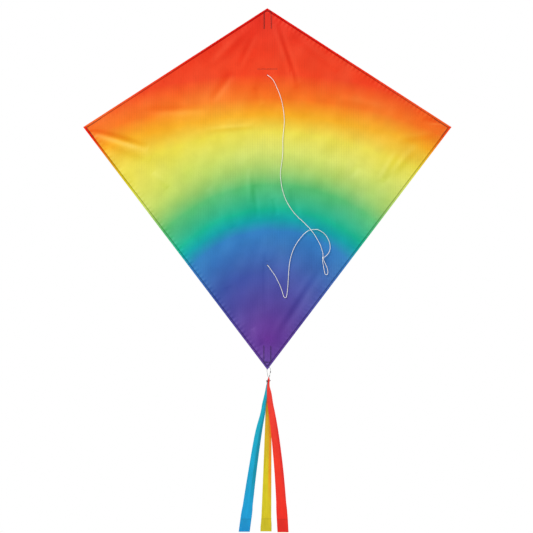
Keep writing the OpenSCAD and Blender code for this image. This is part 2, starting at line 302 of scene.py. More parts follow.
def laid_line(name, colour, groove_shade_colour, strands=3):
    """Line laid from strands: the grooves between them turn once round it in each lay, and are painted darker
    there as shade.
    """
    material, tree, shader = new_material(name, linear(colour), 0.62, sheen=0.2)
    place, round_it, along, _ = places(tree, "UV")
    turn = calc(tree, "MULTIPLY_ADD", round_it, float(strands), along)
    strand = between(tree, calc(tree, "PINGPONG", turn, 0.5), 0.0, 0.32)
    fuzz = noise(tree, place, 40, stretch=(1, 6, 1))
    # Painted shade: the grooves between the strands get the darker groove colour.
    shade = blend_colour(tree, strand, linear(groove_shade_colour), linear(colour))
    paler = calc(tree, "MULTIPLY_ADD", fuzz, 0.16, 0.9)
    tree.links.new(blend_colour(tree, 1.0, shade, paler, "MULTIPLY"), shader.inputs["Base Color"])
    tree.links.new(between(tree, fuzz, 0.3, 0.7, 0.5, 0.75), shader.inputs["Roughness"])
    emboss(tree, shader, calc(tree, "MULTIPLY_ADD", fuzz, 0.25, strand), 0.12 * MM)
    return material


def finish_piece(piece, name, material):
    """Names a piece and gives it its material."""
    piece.name = name
    piece.data.name = name
    piece.data.materials.clear()
    piece.data.materials.append(material)
    return piece


def trefoil(centre, size, deep):
    """Points round the path of an overhand knot, which lies flat against the sail."""
    turns = [2 * pi * i / 60 for i in range(60)]
    return [centre + Vector((size * (sin(t) + 2 * sin(2 * t)), deep * sin(3 * t),
                             size * (cos(t) - 2 * cos(2 * t)))) for t in turns]


white_line = laid_line("white_line", (255, 255, 252), (232, 232, 228))
knot_low, knot_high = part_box("tow_knot")
tow_knot_tied = line_piece(
    "tow_knot_tied", trefoil((knot_low + knot_high) / 2, 0.47 * MM, 0.85 * MM), line_thick, closed=True)
finish_piece(tow_knot_tied, "tow_knot_tied", white_line)
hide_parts("tow_knot")
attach(tow_knot_tied, "right_wing")

spine_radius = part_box("spine")[1].x
hitch_radius = spine_radius + line_thick / 2
hitch_turns = 2.5
hitch_pitch = 1.25 * MM


def spine_hitch(name, node, z):
    """The line goes back through the sail, two and a half times round the spine, and ends in a knot."""
    path = [Vector((0, sail_face - 0.6 * MM, z)), Vector((0, sail_face + 0.4 * MM, z + 0.5 * MM))]
    steps = 50
    for i in range(2, steps + 1):
        angle = -pi / 2 + 2 * pi * hitch_turns * i / steps
        drop = (0.5 - i / steps) * hitch_turns * hitch_pitch
        path.append(Vector((hitch_radius * cos(angle), hitch_radius * sin(angle), z + drop)))
    knot = Vector((0, hitch_radius + 1.3 * MM, path[-1].z - 0.6 * MM))
    tail = [path[-1], knot, knot + Vector((0.9, 0.5, -3.4)) * MM, knot + Vector((1.9, 0.2, -6.5)) * MM]
    wraps = line_piece(name, path[:-1] + smooth_path(tail), line_thick * 0.96)
    tied = line_piece(name, trefoil(knot, 0.42 * MM, 0.7 * MM), line_thick * 0.9, closed=True)
    piece = finish_piece(join(name, [wraps, tied]), name, white_line)
    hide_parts(node)
    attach(piece, "kite")
    return piece


upper_hole = Vector(upper_route[0]).z * MM
lower_hole = Vector(lower_route[0]).z * MM
hitch_upper = spine_hitch("spine_hitch_upper", "bridle_knot_upper", upper_hole)
hitch_lower = spine_hitch("spine_hitch_lower", "bridle_knot_lower", lower_hole)


def bridle_line(name, node, route):
    """One stretch of the bridle, as the mesh and the path that it follows."""
    path = smooth_path(on_sail(route))
    piece = finish_piece(line_piece(name, path, line_thick), name, white_line)
    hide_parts(node)
    return piece, path


leg_upper, leg_path = bridle_line("bridle_leg_upper", "bridle_upper", upper_route)
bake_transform(leg_upper)
leg_lower, leg_path = bridle_line("bridle_leg_lower", "bridle_lower", lower_route)
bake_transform(leg_lower)
tow_line, leg_path = bridle_line("tow_loop_line", "tow_loop", loop_route)
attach(tow_line, "right_wing")


# ---------------------------------------------------------------- Sail
# The sail is a diamond of light ripstop polyester, printed with one fade from red to purple that
# bows up at the middle. It is made here in two halves that meet on the spine. It is pulled tight
# by the rods, with shallow creases that run from its corners.
half_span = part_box("sail_right")[1].x
nose = sail_high.z
tail = -sail_low.z
upper_length = hypot(half_span, nose)
lower_length = hypot(half_span, tail)
cloth_thick = 0.3 * MM
panel_sag = 2.0 * MM
# Each crease: from x, z to x, z, its half width, and how far it stands forward, all in millimetres
CREASES = [
    (15, 214, 60, 80, 6, 1.6), (22, 214, 66, 92, 6, -1.5), (30, 214, 146, 115, 8, 1.4),
    (-72, 113, -116, 52, 8, -1.3), (-27, 82, -10, 48, 6, -0.7), (-30, 212, -120, 125, 9, 1.0),
    (-24, 196, -60, 120, 7, -0.8), (-368, -7, -246, -44, 7, -3.4), (-356, -20, -240, -66, 10, 2.4),
    (-262, 33, -122, 36, 8, -1.0), (-236, -94, -206, -126, 6, 1.2), (-330, -38, -274, -128, 8, 1.4),
    (-130, -6, -26, 2, 5, 0.7), (-122, -126, -70, -208, 8, 1.1), (-104, -120, -58, -200, 7, -0.9),
    (-37, -86, -34, -155, 6, 0.8), (-27, -120, -19, -190, 6, -0.9), (11, -148, 22, -182, 5, -0.7),
    (46, -128, 68, -190, 7, -1.0), (270, -50, 230, -113, 7, 0.9), (278, -60, 240, -118, 7, -0.8),
    (192, -80, 168, -106, 7, -0.5), (312, -38, 236, -113, 8, 1.2), (374, -3, 322, 17, 6, -1.3),
    (350, -14, 268, -26, 8, 0.9), (22, -432, 118, -286, 9, -0.8), (8, -440, 98, -296, 8, 0.5),
    (-12, -450, -30, -416, 6, 0.9), (-52, -410, -84, -330, 9, -0.8), (-3, -258, -3, -382, 5, -0.5),
    (150, 60, 250, 36, 9, 0.7), (200, 110, 120, 160, 9, -0.6)]


def edge_places(x, z):
    """How far inside the nearest edge of the sail a place is, and how far along that edge."""
    x = np.abs(x)
    above = nose * half_span / upper_length - (nose * x + half_span * z) / upper_length
    below = tail * half_span / lower_length - (tail * x - half_span * z) / lower_length
    along_upper = (half_span * x - nose * z) / upper_length
    along_lower = (half_span * x + tail * z) / lower_length
    return np.minimum(above, below), np.where(above < below, along_upper, along_lower)


def ease(value, low, high):
    """A smooth step from 0 at low to 1 at high."""
    t = np.clip((value - low) / (high - low), 0, 1)
    return t * t * (3 - 2 * t)


def soft_box(x, z, left, right, low, high, rim=14):
    """1 inside a box given in millimetres, falling to 0 over the rim round it."""
    aside = np.maximum(left * MM - x, x - right * MM)
    above = np.maximum(low * MM - z, z - high * MM)
    return 1 - ease(np.maximum(aside, above), 0, rim * MM)


def cloth_shift(x, z):
    """How far back the cloth lies from the flat sail: it sags a little between the rods, is creased
    from its corners, ripples softly all over and puckers beside its hem."""
    across = np.abs(x) / half_span
    up = np.where(z > 0, z / nose, -z / tail)
    inside = np.clip(1 - across - up, 0, 1)
    sag = panel_sag * 27 * across * ease(across, 0, 0.3) * up * ease(up, 0, 0.3) * inside
    shift = sag * np.where(x > 0, 0.6, 1.0)
    for x0, z0, x1, z1, width, height in CREASES:
        run_x, run_z = (x1 - x0) * MM, (z1 - z0) * MM
        run = hypot(run_x, run_z)
        t = ((x - x0 * MM) * run_x + (z - z0 * MM) * run_z) / run ** 2
        aside = ((x - x0 * MM) * run_z - (z - z0 * MM) * run_x) / run
        fade = np.clip(4 * t * (1 - t), 0, 1) ** 0.8
        shift = shift - height * MM * fade * np.exp(-(aside / (width * MM)) ** 2)
    near_rod = np.minimum(np.abs(x), np.abs(z))
    held = ease(near_rod, 0, 22 * MM)
    waves = 0.0
    for length, heading, phase in [(86, 20, 0.4), (64, 75, 2.1), (49, 118, 4.0), (37, 160, 1.2)]:
        turn = radians(heading)
        waves = waves + np.sin(2 * pi * (x * cos(turn) + z * sin(turn)) / (length * MM) + phase)
    shift = shift + 0.1 * MM * waves * held
    inset, along = edge_places(x, z)
    pucker = np.sin(2 * pi * along / (9.5 * MM)) + 0.6 * np.sin(2 * pi * along / (23 * MM) + 1)
    near_hem = np.exp(-((inset - 7 * MM) / (5 * MM)) ** 2)
    shift = shift + 0.16 * MM * pucker * near_hem
    backward = 0.3 * MM + 5 * MM * ease(near_rod, 4 * MM, 17 * MM)
    under_line = np.maximum(soft_box(x, z, -6, 48, -355, 114), soft_box(x, z, 20, 136, -312, -150))
    forward = 0.25 * MM + 4 * MM * (1 - under_line)
    return np.where(shift > 0, backward * np.tanh(shift / backward), forward * np.tanh(shift / forward))


def places_of(piece):
    """The places of a mesh's vertices, one row each."""
    places_flat = np.empty(len(piece.data.vertices) * 3)
    piece.data.vertices.foreach_get("co", places_flat)
    return places_flat.reshape(-1, 3)


def put_places(piece, places_now):
    """Moves a mesh's vertices to these places."""
    piece.data.vertices.foreach_set("co", places_now.astype(np.float32).ravel())
    piece.data.update()


def net(name, columns, rows):
    """A flat net of squares, with how far across and up each of its points is, from 0 to 1."""
    bpy.ops.mesh.primitive_grid_add(x_subdivisions=columns, y_subdivisions=rows, size=1)
    piece = bpy.context.object
    piece.name = name
    flat = places_of(piece)
    return piece, flat[:, 0] + 0.5, flat[:, 1] + 0.5


def shape_net(piece, x, y, z):
    """Puts a net's points where they belong, and turns its faces to the front."""
    put_places(piece, np.column_stack([x, y, z]))
    facing = sum(face.normal.y * face.area for face in piece.data.polygons)
    if facing > 0:
        select_only(piece)
        bpy.ops.object.mode_set(mode="EDIT")
        bpy.ops.mesh.select_all(action="SELECT")
        bpy.ops.mesh.flip_normals()
        bpy.ops.object.mode_set(mode="OBJECT")


def thicken(piece, thick, angle=50):
    """Gives a sheet its thickness, backwards from its face, and smooths its shading."""
    select_only(piece)
    solid = piece.modifiers.new("thickness", "SOLIDIFY")
    solid.thickness = thick
    solid.offset = -1
    bpy.ops.object.modifier_apply(modifier=solid.name)
    bpy.ops.object.shade_smooth_by_angle(angle=radians(angle))


def lay_print(piece):
    """Fixes the print to the cloth, so that it bends with it: one UV map says where each corner lies
    on the flat sail, and another how far the cloth leans to the key lamp, for painted light and shade, and
    whether it is the back."""
    corners = np.empty(len(piece.data.loops), dtype=np.int32)
    piece.data.loops.foreach_get("vertex_index", corners)
    now = places_of(piece)
    x, z = now[:, 0], now[:, 2]
    step = 1 * MM
    lean_x = (cloth_shift(x + step, z) - cloth_shift(x - step, z)) / (2 * step)
    lean_z = (cloth_shift(x, z + step) - cloth_shift(x, z - step)) / (2 * step)
    # Painted light and shade: the cloth's slope towards the key lamp, which the material turns into paler and
    # darker print.
    lean = np.clip(0.6 * lean_x - 0.85 * lean_z, -0.3, 0.3)
    on_flat = np.column_stack([x / (2 * half_span) + 0.5, (z + tail) / (nose + tail)])[corners]
    piece.data.uv_layers[0].data.foreach_set("uv", on_flat.astype(np.float32).ravel())
    light_and_back_uv = piece.data.uv_layers.new(name="lean")
    normals = np.empty(len(piece.data.polygons) * 3)
    piece.data.polygons.foreach_get("normal", normals)
    totals = np.empty(len(piece.data.polygons), dtype=np.int32)
    piece.data.polygons.foreach_get("loop_total", totals)
    behind = np.repeat(normals[1::3] > 0.5, totals)
    light_and_back_uv.data.foreach_set("uv", np.column_stack([lean[corners], behind]).astype(np.float32).ravel())


def finish_cloth(piece, name, material):
    """Names a piece of printed cloth or its thread, and lays the print on it."""
    lay_print(piece)
    return finish_piece(piece, name, material)


def trim(piece, place, outward):
    """Cuts off what lies beyond a flat cut."""
    select_only(piece)
    bpy.ops.object.mode_set(mode="EDIT")
    bpy.ops.mesh.select_all(action="SELECT")
    bpy.ops.mesh.bisect(plane_co=place, plane_no=outward, clear_outer=True, threshold=0.01 * MM)
    bpy.ops.object.mode_set(mode="OBJECT")


def bend_at_fold(piece):
    """Bakes the piece's place into its mesh."""
    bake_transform(piece)


# The print's dyes by their height on the spine, in millimetres from the cross spar
PRINT = [
    (230, (230, 50, 35)), (110, (240, 70, 35)), (60, (245, 120, 35)), (25, (245, 175, 40)),
    (-10, (235, 220, 80)), (-50, (215, 225, 105)), (-80, (175, 210, 105)),
    (-120, (90, 190, 115)), (-170, (25, 180, 145)), (-190, (20, 165, 170)),
    (-215, (55, 130, 195)), (-300, (70, 90, 170)), (-400, (100, 65, 155)),
    (-495, (105, 25, 140))]
bow_radius = 440 * MM


def in_proportion(tree, value, low, high, to_low=0.0, to_high=1.0):
    """A value carried in proportion from one range to another, and held at its ends."""
    node = tree.nodes.new("ShaderNodeMapRange")
    for socket, number in zip(node.inputs, (value, low, high, to_low, to_high)):
        feed(tree, socket, number)
    return node.outputs[0]


def ramp_colour(tree, value, stops):
    """The colours at their places along a value from 0 to 1, fading evenly from each to the next."""
    ramp = tree.nodes.new("ShaderNodeValToRGB")
    elements = ramp.color_ramp.elements
    for at, colour in stops[1:-1]:
        elements.new(at).color = (*linear(colour), 1)
    elements[0].color = (*linear(stops[0][1]), 1)
    elements[-1].color = (*linear(stops[-1][1]), 1)
    tree.links.new(value, ramp.inputs[0])
    return ramp.outputs[0]


def print_colour(tree, place, x, z):
    """The printed fade. It bows about a point below the sail, less in its lower half, where it also
    lies a little lower at the left."""
    square_x = calc(tree, "MULTIPLY", x, x)
    drop = calc(tree, "ADD", z, bow_radius)
    square_z = calc(tree, "MULTIPLY", drop, drop)
    first = calc(tree, "SQRT", calc(tree, "ADD", square_x, square_z))
    share = in_proportion(tree, first, bow_radius - 80 * MM, bow_radius + 60 * MM, 1.0, 0.55)
    flatter = calc(tree, "MULTIPLY_ADD", square_x, share, square_z)
    height = calc(tree, "SUBTRACT", calc(tree, "SQRT", flatter), bow_radius)
    height = calc(tree, "MULTIPLY_ADD", noise(tree, place, 18, 3), 7 * MM, height)
    tilt = calc(tree, "MULTIPLY", x, between(tree, z, -60 * MM, -140 * MM, 0.0, -0.05))
    height = calc(tree, "ADD", height, tilt)
    height = calc(tree, "SUBTRACT", height, 3.5 * MM)
    top, bottom = PRINT[0][0], PRINT[-1][0]
    stops = [((at - bottom) / (top - bottom), colour) for at, colour in reversed(PRINT)]
    return ramp_colour(tree, in_proportion(tree, height, bottom * MM, top * MM), stops)


def edge_distance(tree, x, z):
    """How far inside the sail's nearest edge a place is."""
    aside = calc(tree, "ABSOLUTE", x)
    inside = []
    for rise, length, way in ((nose, upper_length, 1), (tail, lower_length, -1)):
        reach = calc(tree, "MULTIPLY", aside, rise / length)
        reach = calc(tree, "MULTIPLY_ADD", z, way * half_span / length, reach)
        inside.append(calc(tree, "SUBTRACT", rise * half_span / length, reach))
    return calc(tree, "MINIMUM", inside[0], inside[1])


ripstop_pitch = 5.1 * MM
weave_pitch = 0.5 * MM
stitch_inset = 4.3 * MM


def printed_cloth(name, shade=1.0, depth=0.0):
    """Printed ripstop: the fade, with painted light and shade, paler where the cloth leans to the key lamp
    and darker where it leans away, deeper where the hem doubles it, a painted shadow line along the stitch
    rows, a thicker thread every few millimetres each way, a fine plain weave and a paler back, where the
    print has come through."""
    material, tree, shader = new_material(name, (0.8, 0.5, 0.2), 0.5, specular=0.06)
    mapping = tree.nodes.new("ShaderNodeMapping")
    mapping.inputs["Scale"].default_value = (2 * half_span, nose + tail, 1)
    mapping.inputs["Location"].default_value = (-half_span, -tail, 0)
    tree.links.new(places(tree, "UV")[0], mapping.inputs["Vector"])
    place = mapping.outputs[0]
    flat = tree.nodes.new("ShaderNodeSeparateXYZ")
    tree.links.new(place, flat.inputs[0])
    x, z = flat.outputs[0], flat.outputs[1]
    colour = print_colour(tree, place, x, z)
    inset = edge_distance(tree, x, z)
    doubled = between(tree, inset, 5.4 * MM, 4.4 * MM)
    aside = calc(tree, "ABSOLUTE", x)
    low_left = calc(tree, "MULTIPLY", between(tree, x, -240 * MM, -330 * MM, -0.16, 0.9),
                    between(tree, z, 1 * MM, -5 * MM))
    high_tips = calc(tree, "MULTIPLY", between(tree, aside, 90 * MM, 260 * MM, 0.0, -0.55),
                     between(tree, z, -2 * MM, 4 * MM))
    deeper = calc(tree, "ADD", between(tree, z, -150 * MM, -20 * MM, 0.24, 0.58), high_tips)
    deeper = calc(tree, "ADD", deeper, low_left)
    light_and_back_map = tree.nodes.new("ShaderNodeUVMap")
    light_and_back_map.uv_map = "lean"
    light_and_back_parts = tree.nodes.new("ShaderNodeSeparateXYZ")
    tree.links.new(light_and_back_map.outputs[0], light_and_back_parts.inputs[0])
    lean = light_and_back_parts.outputs[0]
    # The gamma below paints light and shade by the lean to the key lamp, deepens the hem and varies the tone
    # at random.
    haze = between(tree, noise(tree, place, 7, 2), 0.3, 0.7, 0.07, -0.07)
    power = calc(tree, "ADD", calc(tree, "MULTIPLY_ADD", lean, 0.95, 1.0 + depth), haze)
    light_and_hem_gamma = tree.nodes.new("ShaderNodeGamma")
    feed(tree, light_and_hem_gamma.inputs["Color"], colour)
    feed(tree, light_and_hem_gamma.inputs["Gamma"], calc(tree, "MULTIPLY_ADD", doubled, deeper, power))
    colour = light_and_hem_gamma.outputs[0]
    # Painted shadow: a dark line along each stitch row, where the hem's crease is shaded.
    beside = calc(tree, "ABSOLUTE", calc(tree, "SUBTRACT", inset, stitch_inset))
    seam_shadow = between(tree, beside, 0.5 * MM, 1.1 * MM, 0.62, 1.0)
    colour = blend_colour(tree, 1.0, colour, seam_shadow, "MULTIPLY")
    thread_x = between(tree, calc(tree, "PINGPONG", x, ripstop_pitch / 2), 0.7 * MM, 0.2 * MM)
    thread_z = between(tree, calc(tree, "PINGPONG", z, ripstop_pitch / 2), 0.7 * MM, 0.2 * MM)
    grid = calc(tree, "MAXIMUM", thread_x, calc(tree, "MULTIPLY", thread_z, 0.35))
    blotch = noise(tree, place, 26, 4)
    uneven = between(tree, noise(tree, place, 9, 2), 0.4, 0.65, -0.01, -0.09)
    darker = calc(tree, "MULTIPLY_ADD", grid, uneven, 0.975 * shade)
    colour = blend_colour(tree, 1.0, colour, darker, "MULTIPLY")
    colour = blend_colour(tree, 1.0, colour, between(tree, blotch, 0.25, 0.75, 0.95, 1.04), "MULTIPLY")
    veiled = blend_colour(tree, 0.14, colour, (0.9, 0.88, 0.86))
    colour = blend_colour(tree, light_and_back_parts.outputs[1], colour, veiled)
    tree.links.new(colour, shader.inputs["Base Color"])
    over_x = calc(tree, "SINE", calc(tree, "MULTIPLY", x, 2 * pi / weave_pitch))
    over_z = calc(tree, "SINE", calc(tree, "MULTIPLY", z, 2 * pi / weave_pitch))
    weave = calc(tree, "MULTIPLY", over_x, over_z)
    relief = calc(tree, "MULTIPLY_ADD", weave, 0.12, calc(tree, "MULTIPLY", grid, 0.8))
    relief = calc(tree, "MULTIPLY_ADD", blotch, 0.8, relief)
    emboss(tree, shader, relief, 0.12 * MM)
    tree.links.new(between(tree, blotch, 0.2, 0.8, 0.42, 0.6), shader.inputs["Roughness"])
    return material


sail_cloth = printed_cloth("sail_cloth")
sail_columns = 200
sail_rows = 312
for side, half in ((-1, "left"), (1, "right")):
    sail_half, across, up = net("sail_cloth_" + half, sail_columns, sail_rows)
    reach = across if side > 0 else 1 - across
    x = side * half_span * (0.6 * reach + 0.4 * reach ** 2)
    shape_net(sail_half, x, np.full_like(x, sail_face), up * (nose + tail) - tail)
    trim(sail_half, (0, 0, nose), (side * nose, 0, half_span))
    trim(sail_half, (0, 0, -tail), (side * tail, 0, -half_span))
    flat = places_of(sail_half)
    flat[:, 1] += cloth_shift(flat[:, 0], flat[:, 2])
    put_places(sail_half, flat)
    thicken(sail_half, cloth_thick)
    finish_cloth(sail_half, "sail_cloth_" + half, sail_cloth)
    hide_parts("sail_" + half, "sail_centre")
    bend_at_fold(sail_half)


# ---------------------------------------------------------------- Hems
# All four edges are turned 5 mm to the back and sewn down with one row of plain stitches, so the
# cloth is double there. At each corner the two hems meet in a mitre.
hem_back = sail_high.y
hem_width = 5 * MM
hem_thick = 0.4 * MM
hem_front = sail_face + cloth_thick + 0.03 * MM
stitch_length = 2.5 * MM
stitch_pitch = 3.2 * MM
stitch_thread = 0.7 * MM
nose_turn = atan2(half_span, nose)
tail_turn = atan2(half_span, tail)
tip_turn = (pi - nose_turn - tail_turn) / 2


def edge_of(side, upper):
    """A sail edge: its start on the spine, its direction, the way inwards, its length, and the half
    angle of the corner where it starts."""
    rise = nose if upper else -tail
    start = Vector((0, 0, rise))
    along = (Vector((side * half_span, 0, 0)) - start).normalized()
    inward = Vector((-abs(along.z) * side, 0, -abs(along.x) * (1 if upper else -1)))
    length = upper_length if upper else lower_length
    return start, along, inward, length, nose_turn if upper else tail_turn


def stitch_row(name, start, along, count, pitch, length, thread, deep):
    """A row of sewn stitches on the face and, half a stitch on, behind. One stitch is a thread that
    dips at both ends, and it is repeated along the row."""
    bpy.ops.mesh.primitive_uv_sphere_add(
        segments=6, ring_count=6, radius=0.5, rotation=(0, pi / 2, 0), scale=(thread, thread, length))
    row = bpy.context.object
    bpy.ops.object.transform_apply(location=True, rotation=True, scale=True)
    for steps, offset in ((count, (pitch, 0, 0)), (2, (pitch / 2, deep, 0))):
        repeat = row.modifiers.new("repeat", "ARRAY")
        repeat.count = steps
        repeat.use_relative_offset = False
        repeat.use_constant_offset = True
        repeat.constant_offset_displace = offset
        bpy.ops.object.modifier_apply(modifier=repeat.name)
    local = places_of(row)
    x = start.x + along.x * local[:, 0] - along.z * local[:, 2]
    z = start.z + along.z * local[:, 0] + along.x * local[:, 2]
    y = sail_face + local[:, 1] + cloth_shift(x, z)
    put_places(row, np.column_stack([x, y, z]))
    bpy.ops.object.shade_smooth_by_angle(angle=radians(70))
    row.name = name
    return row


hem_thread = printed_cloth("hem_thread", shade=0.5, depth=0.5)
hems = {"left": [], "right": []}
for side, half in ((-1, "left"), (1, "right")):
    for upper, level in ((True, "upper"), (False, "lower")):
        start, along, inward, length, turn = edge_of(side, upper)
        hem, across, up = net("hem_" + level + "_" + half, 4, 300)
        inset = 0.12 * MM + across * (hem_width - 0.12 * MM)
        first = inset / tan(turn)
        last = length - inset / tan(tip_turn)
        run = first + (last - first) * up
        x = start.x + along.x * run + inward.x * inset
        z = start.z + along.z * run + inward.z * inset
        y = hem_front + 0.1 * MM * np.sin(pi * across) + cloth_shift(x, z)
        shape_net(hem, x, y, z)
        thicken(hem, hem_thick)
        finish_cloth(hem, hem.name, sail_cloth)
        bend_at_fold(hem)
        first = stitch_inset / tan(turn) + stitch_length
        count = int((length - first - stitch_inset / tan(tip_turn)) / stitch_pitch)
        row_start = start + along * first + inward * stitch_inset
        row = stitch_row("hem_stitches_" + level + "_" + half, row_start, along, count, stitch_pitch,
                         stitch_length, stitch_thread, hem_back - sail_face + 0.1 * MM)
        finish_cloth(row, row.name, hem_thread)
        bend_at_fold(row)
        hems[half] += [hem, row]


# ---------------------------------------------------------------- Pockets
# A pocket of printed cloth behind each corner holds the capped end of a rod. Those at the nose and
# the tail are tunnels, sewn with close zigzag rows of dark thread. Those at the wing tips are
# triangles, caught by the hems' stitches and sewn again along both edges.
pocket_thick = 0.35 * MM
pocket_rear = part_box("nose_pocket")[1].y
arch_top = 0.7 * MM
arch_foot = 6.4 * MM
mend_inset = 5.2 * MM


def behind_sail(x, z):
    """The rear face of the cloth and of its hem, where there is one."""
    inset, _ = edge_places(x, z)
    on_hem = 1 - ease(inset, hem_width - 0.4 * MM, hem_width + 0.8 * MM)
    return sail_face + cloth_thick + 0.1 * MM + hem_thick * on_hem + cloth_shift(x, z)


def drape_pocket(pocket, x, z, aside, room, closed):
    """Lays a pocket's net behind the sail and over its rod. Aside is the distance from the rod, room
    the width there is for the arch, and closed is 1 where the end has come down to the sail."""
    base = behind_sail(x, z)
    rise = (1 - ease(aside, arch_top, np.minimum(arch_foot, room))) * (1 - closed)
    shape_net(pocket, x, base + (pocket_rear - pocket_thick - base) * rise, z)
    thicken(pocket, pocket_thick)


def zigzag(name, corners, material, pitch=1.0 * MM, swing=0.6 * MM, thread=0.95 * MM):
    """Zigzag stitches from corner to corner, on the face and behind the pocket's rim."""
    x, z = [], []
    for (x0, z0), (x1, z1) in zip(corners, corners[1:]):
        run = hypot(x1 - x0, z1 - z0)
        count = int(run * MM / pitch)
        for i in range(count):
            aside = swing * (1 if i % 2 else -1)
            x.append((x0 + (x1 - x0) * i / count) * MM + aside * (z1 - z0) / run)
            z.append((z0 + (z1 - z0) * i / count) * MM - aside * (x1 - x0) / run)
    x, z = np.array(x), np.array(z)
    faces = (sail_face - 0.15 * MM + cloth_shift(x, z), behind_sail(x, z) + pocket_thick + 0.15 * MM)
    rows = [line_piece(name, [Vector(p) for p in zip(x, y, z)], thread, resolution=1) for y in faces]
    return finish_piece(join(name, rows), name, material)


maroon_thread = laid_line("maroon_thread", (58, 8, 12), (32, 4, 6))
ruby_thread = laid_line("ruby_thread", (124, 20, 20), (84, 10, 12))
plum_thread = laid_line("plum_thread", (34, 14, 66), (18, 8, 40))
rust_thread = laid_line("rust_thread", (112, 40, 24), (64, 22, 14))
for end, way, slot_name in (("nose", 1, "pocket_cloth"), ("tail", -1, "tail_cloth")):
    low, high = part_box(end + "_pocket")
    shut, mouth = (high.z, low.z) if way > 0 else (low.z, high.z)
    pocket, across, up = net(end + "_pocket_cloth", 40, 60)
    x = low.x + (high.x - low.x) * across
    z = mouth + (shut + way * 2.2 * MM - mouth) * up
    closed = ease(way * (z - shut), -0.5 * MM, 2.0 * MM)
    drape_pocket(pocket, x, z, np.abs(x), arch_foot, closed)
    finish_cloth(pocket, pocket.name, sail_cloth)
    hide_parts(end + "_pocket")
    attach(pocket, "kite")
seams = zigzag("nose_pocket_seam_left", [(-6.6, 203), (-6.6, 239.6)], maroon_thread, swing=0.9 * MM)
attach(seams, "kite")
seams = zigzag("nose_pocket_seam_right", [(-5.6, 240.4), (7.6, 239.6), (8.4, 203)], ruby_thread)
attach(seams, "kite")
seams = zigzag("tail_pocket_seam", [(-7.2, -452), (-7.2, -486.4), (7.2, -486.4), (7.2, -452)], plum_thread)
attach(seams, "kite")
seams = zigzag("tail_point_seam", [(-6.2, -488), (0, -495), (6.2, -488)], plum_thread)
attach(seams, "kite")

for side, half in ((-1, "left"), (1, "right")):
    low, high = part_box("tip_pocket_" + half)
    shut = max(abs(low.x), abs(high.x))
    edge_gap = 1.6 * MM
    mouth_upper = shut - 33 * MM
    mouth_lower = shut - 17 * MM
    point = shut + 7 * MM
    pocket, across, up = net("tip_pocket_cloth_" + half, 44, 50)
    reach_upper = mouth_upper + (point - mouth_upper) * up
    reach_lower = mouth_lower + (point - mouth_lower) * up
    upper_z = (half_span - reach_upper) * nose / half_span - edge_gap * upper_length / half_span
    lower_z = edge_gap * lower_length / half_span - (half_span - reach_lower) * tail / half_span
    reach = reach_lower + (reach_upper - reach_lower) * across
    z = lower_z + (upper_z - lower_z) * across
    room = np.where(z > 0, (half_span - reach) * nose, (half_span - reach) * tail) / half_span - 2.2 * MM
    closed = ease(reach, shut - 0.3 * MM, shut + 3.2 * MM)
    drape_pocket(pocket, side * reach, z, np.abs(z), np.maximum(room, 2 * MM), closed)
    finish_cloth(pocket, pocket.name, sail_cloth)
    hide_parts("tip_pocket_" + half)
    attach(pocket, half + "_wing")
    rows = []
    for upper, length in ((True, 38 * MM), (False, 26 * MM)):
        start, along, inward, edge_length, _ = edge_of(side, upper)
        corner = edge_length - mend_inset / tan(tip_turn)
        row_start = start + along * corner + inward * mend_inset
        rows.append(stitch_row("tip_stitches", row_start, -along, int(length / (2.6 * MM)), 2.6 * MM,
                               2.2 * MM, 1.0 * MM, hem_back - sail_face + 0.2 * MM))
    row = finish_piece(join("tip_stitches_" + half, rows), "tip_stitches_" + half, rust_thread)
    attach(row, half + "_wing")


# ---------------------------------------------------------------- Bridle patches
# Behind each bridle hole a patch of the same cloth is sewn to the sail with thread of its own colour,
# across the spine, and each hole is oversewn. The upper patch's top row is sewn with dark thread.
patch_thick = 0.25 * MM
row_inset = 1.4 * MM
for level, hole, patch_slot in (
        ("upper", upper_hole, "pocket_cloth"), ("lower", lower_hole, "tail_cloth")):
    low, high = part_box("bridle_patch_" + level)
    for side, half in ((-1, "left"), (1, "right")):
        patch, across, up = net("bridle_patch_" + level + "_" + half, 40, 24)
        x = side * high.x * across
        z = low.z + (high.z - low.z) * up
        shape_net(patch, x, sail_face + cloth_thick + 0.05 * MM + cloth_shift(x, z), z)
        thicken(patch, patch_thick)
        finish_cloth(patch, patch.name, sail_cloth)
        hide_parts("bridle_patch_" + level)
        bend_at_fold(patch)
        out = Vector((side, 0, 0))
        deep = cloth_thick + patch_thick + 0.1 * MM
        count = int((high.x - row_inset) / stitch_pitch)
        rises = int((high.z - low.z - 2 * row_inset) / stitch_pitch)
        top_row = stitch_row("patch_top", Vector((0, 0, high.z - row_inset)), out, count, stitch_pitch,
                              2.8 * MM, 0.95 * MM, deep)
        low_row = stitch_row("patch_foot", Vector((0, 0, low.z + row_inset)), out, count, stitch_pitch,
                             stitch_length, stitch_thread, deep)
        side_row = stitch_row("patch_side", Vector((side * (high.x - row_inset), 0, low.z + row_inset)),
                              Vector((0, 0, 1)), rises, stitch_pitch, stitch_length, stitch_thread, deep)
        if level == "upper":
            name = "patch_row_top_" + half
            bend_at_fold(finish_piece(top_row, name, maroon_thread))
            rows = [low_row, side_row]
        else:
            rows = [low_row, side_row, top_row]
        name = "patch_rows_" + level + "_" + half
        bend_at_fold(finish_cloth(join(name, rows), name, sail_cloth))
    turns = [2 * pi * i / 24 for i in range(24)]
    rings = [line_piece("eyelet", [Vector((1.15 * MM * cos(t), y, hole + 1.15 * MM * sin(t))) for t in turns],
                        0.55 * MM, closed=True)
             for y in (sail_face - 0.1 * MM, sail_face + cloth_thick + patch_thick + 0.15 * MM)]
    name = "bridle_eyelet_" + level
    eyelet = finish_cloth(join(name, rings), name, hem_thread)
    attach(eyelet, "kite")


